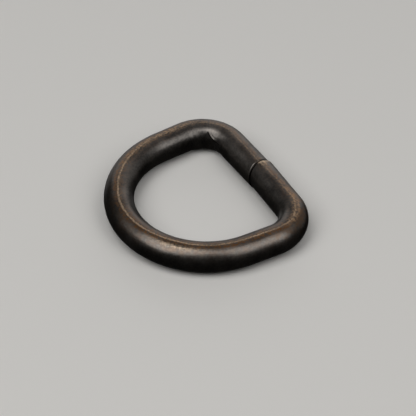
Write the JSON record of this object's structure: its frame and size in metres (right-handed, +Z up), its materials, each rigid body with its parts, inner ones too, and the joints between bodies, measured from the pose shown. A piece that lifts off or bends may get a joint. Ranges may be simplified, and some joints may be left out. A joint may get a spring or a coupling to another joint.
{
  "type": "d ring",
  "caption": "Closed D ring bent from heavy round wire, with a straight bar for a strap and a round bow; the wire's ends butt in the middle of the bar.",
  "frame": {"origin": "the middle of the ring's outline, on the surface that it lies on", "axes": "+X along the straight bar, +Y from the bar to the crown of the bow, +Z up, square to the flat of the ring"},
  "size_m": [0.0354, 0.031, 0.0052],
  "materials": {
    "antique_wire": "dark antique plating on steel wire, semi-gloss, rubbed to a tan colour along the top of the wire"
  },
  "bodies": {
    "root": {"ring": "antique_wire"}
  },
  "joints": []
}
